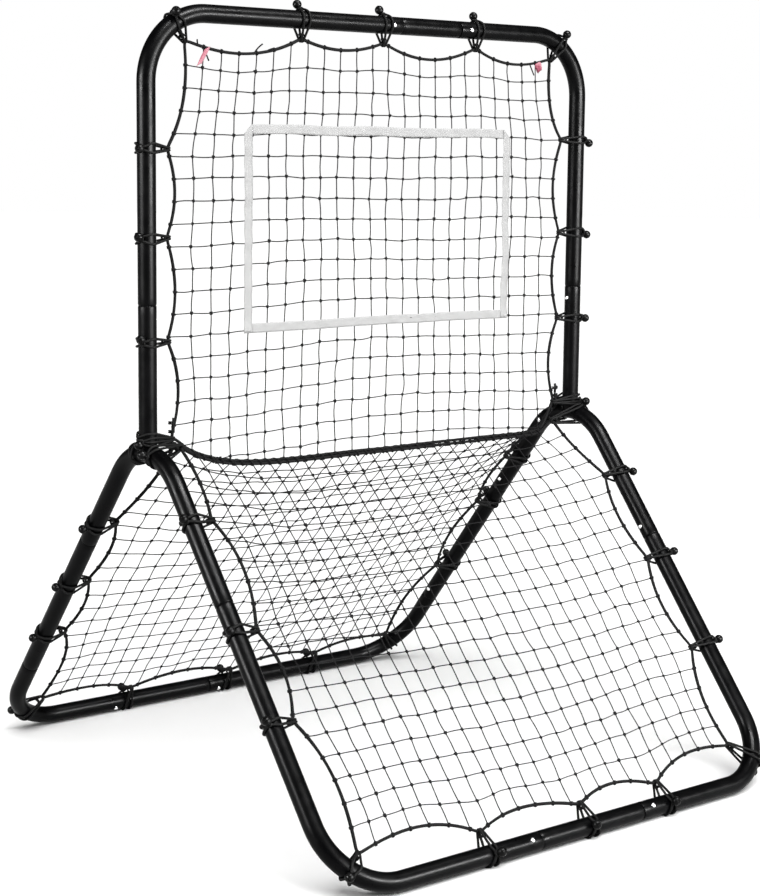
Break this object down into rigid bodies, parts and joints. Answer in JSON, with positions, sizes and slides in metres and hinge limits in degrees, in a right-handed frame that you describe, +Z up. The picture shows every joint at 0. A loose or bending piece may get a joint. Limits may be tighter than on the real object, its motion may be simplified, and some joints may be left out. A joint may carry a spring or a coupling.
{
  "type": "pitch back rebounder",
  "caption": "Free-standing ball rebounder: a tube frame with an upright net panel over two sloping net panels that form a tent, all hung on ball bungees.",
  "frame": {"origin": "on the ground under the middle of the frame, at the centre of the bounding box's bottom", "axes": "+Z up; +X across the nets, to the right of a person who faces the front net; the ball is pitched from -Y"},
  "size_m": [1.2569, 1.3799, 1.6762],
  "materials": {
    "powder_coat": "black powder coat, satin to semi-gloss, on steel tube",
    "bright_steel": "zinc-plated steel buttons and rivets",
    "net_twine": "black knotted twine, matt",
    "border_cord": "black braided cord, matt",
    "black_elastic": "black elastic cord with a black plastic ball",
    "zone_tape": "pale grey woven tape"
  },
  "bodies": {
    "frame": {"back_border_cord": "border_cord", "back_corner_tube_left": "powder_coat", "back_corner_tube_right": "powder_coat", "back_leg_tube_left": "powder_coat", "back_leg_tube_right": "powder_coat", "back_net": "net_twine", "back_rail_centre_tube": "powder_coat", "ball_bungee_back_corner_left": "black_elastic", "ball_bungee_back_corner_right": "black_elastic", "ball_bungee_back_rail_1": "black_elastic", "ball_bungee_back_rail_2": "black_elastic", "ball_bungee_back_rail_3": "black_elastic", "ball_bungee_front_corner_left": "black_elastic", "ball_bungee_front_corner_right": "black_elastic", "ball_bungee_front_rail_1": "black_elastic", "ball_bungee_front_rail_2": "black_elastic", "ball_bungee_front_rail_3": "black_elastic", "ball_bungee_hub_left": "black_elastic", "ball_bungee_hub_right": "black_elastic", "ball_bungee_top_1": "black_elastic", "ball_bungee_top_2": "black_elastic", "ball_bungee_top_3": "black_elastic", "ball_bungee_top_corner_left": "black_elastic", "ball_bungee_top_corner_right": "black_elastic", "ball_bungee_upright_left_1": "black_elastic", "ball_bungee_upright_left_2": "black_elastic", "ball_bungee_upright_left_3": "black_elastic", "ball_bungee_upright_right_1": "black_elastic", "ball_bungee_upright_right_2": "black_elastic", "ball_bungee_upright_right_3": "black_elastic", "front_border_cord": "border_cord", "front_corner_tube_left": "powder_coat", "front_corner_tube_right": "powder_coat", "front_net": "net_twine", "front_rail_centre_tube": "powder_coat", "hub_left": "powder_coat", "hub_right": "powder_coat", "hub_rivet_left": "bright_steel", "hub_rivet_right": "bright_steel", "strike_zone_tape": "zone_tape", "top_rail_centre_tube": "powder_coat", "upper_border_cord": "border_cord", "upper_corner_tube_left": "powder_coat", "upper_corner_tube_right": "powder_coat", "upper_net": "net_twine"},
    "snap_button_back_leg_lower_left": {"snap_button_back_leg_lower_left": "bright_steel"},
    "snap_button_back_leg_lower_right": {"snap_button_back_leg_lower_right": "bright_steel"},
    "snap_button_back_leg_upper_left": {"snap_button_back_leg_upper_left": "bright_steel"},
    "snap_button_back_leg_upper_right": {"snap_button_back_leg_upper_right": "bright_steel"},
    "snap_button_back_rail_left": {"snap_button_back_rail_left": "bright_steel"},
    "snap_button_back_rail_right": {"snap_button_back_rail_right": "bright_steel"},
    "snap_button_front_leg_left": {"snap_button_front_leg_left": "bright_steel"},
    "snap_button_front_leg_right": {"snap_button_front_leg_right": "bright_steel"},
    "snap_button_front_rail_left": {"snap_button_front_rail_left": "bright_steel"},
    "snap_button_front_rail_right": {"snap_button_front_rail_right": "bright_steel"},
    "snap_button_top_rail_left": {"snap_button_top_rail_left": "bright_steel"},
    "snap_button_top_rail_right": {"snap_button_top_rail_right": "bright_steel"},
    "snap_button_upright_left": {"snap_button_upright_left": "bright_steel"},
    "snap_button_upright_right": {"snap_button_upright_right": "bright_steel"}
  },
  "joints": [
    {"name": "press_back_leg_lower_left", "type": "slide", "parent": "frame", "child": "snap_button_back_leg_lower_left", "axis": [-1, 0, 0], "range_m": [0, 0.0052], "stiffness_N_per_m": 1000, "springref_m": -0.005},
    {"name": "press_back_leg_lower_right", "type": "slide", "parent": "frame", "child": "snap_button_back_leg_lower_right", "axis": [1, 0, 0], "range_m": [0, 0.0052], "stiffness_N_per_m": 1000, "springref_m": -0.005},
    {"name": "press_back_leg_upper_left", "type": "slide", "parent": "frame", "child": "snap_button_back_leg_upper_left", "axis": [-1, 0, 0], "range_m": [0, 0.0052], "stiffness_N_per_m": 1000, "springref_m": -0.005},
    {"name": "press_back_leg_upper_right", "type": "slide", "parent": "frame", "child": "snap_button_back_leg_upper_right", "axis": [1, 0, 0], "range_m": [0, 0.0052], "stiffness_N_per_m": 1000, "springref_m": -0.005},
    {"name": "press_back_rail_left", "type": "slide", "parent": "frame", "child": "snap_button_back_rail_left", "axis": [0, 0.7749, 0.6321], "range_m": [0, 0.0052], "stiffness_N_per_m": 1000, "springref_m": -0.005},
    {"name": "press_back_rail_right", "type": "slide", "parent": "frame", "child": "snap_button_back_rail_right", "axis": [0, 0.7749, 0.6321], "range_m": [0, 0.0052], "stiffness_N_per_m": 1000, "springref_m": -0.005},
    {"name": "press_front_leg_left", "type": "slide", "parent": "frame", "child": "snap_button_front_leg_left", "axis": [-1, 0, 0], "range_m": [0, 0.0052], "stiffness_N_per_m": 1000, "springref_m": -0.005},
    {"name": "press_front_leg_right", "type": "slide", "parent": "frame", "child": "snap_button_front_leg_right", "axis": [1, 0, 0], "range_m": [0, 0.0052], "stiffness_N_per_m": 1000, "springref_m": -0.005},
    {"name": "press_front_rail_left", "type": "slide", "parent": "frame", "child": "snap_button_front_rail_left", "axis": [0, 0.7749, -0.6321], "range_m": [0, 0.0052], "stiffness_N_per_m": 1000, "springref_m": -0.005},
    {"name": "press_front_rail_right", "type": "slide", "parent": "frame", "child": "snap_button_front_rail_right", "axis": [0, 0.7749, -0.6321], "range_m": [0, 0.0052], "stiffness_N_per_m": 1000, "springref_m": -0.005},
    {"name": "press_top_rail_left", "type": "slide", "parent": "frame", "child": "snap_button_top_rail_left", "axis": [0, 1, 0], "range_m": [0, 0.0052], "stiffness_N_per_m": 1000, "springref_m": -0.005},
    {"name": "press_top_rail_right", "type": "slide", "parent": "frame", "child": "snap_button_top_rail_right", "axis": [0, 1, 0], "range_m": [0, 0.0052], "stiffness_N_per_m": 1000, "springref_m": -0.005},
    {"name": "press_upright_left", "type": "slide", "parent": "frame", "child": "snap_button_upright_left", "axis": [-1, 0, 0], "range_m": [0, 0.0052], "stiffness_N_per_m": 1000, "springref_m": -0.005},
    {"name": "press_upright_right", "type": "slide", "parent": "frame", "child": "snap_button_upright_right", "axis": [1, 0, 0], "range_m": [0, 0.0052], "stiffness_N_per_m": 1000, "springref_m": -0.005}
  ]
}
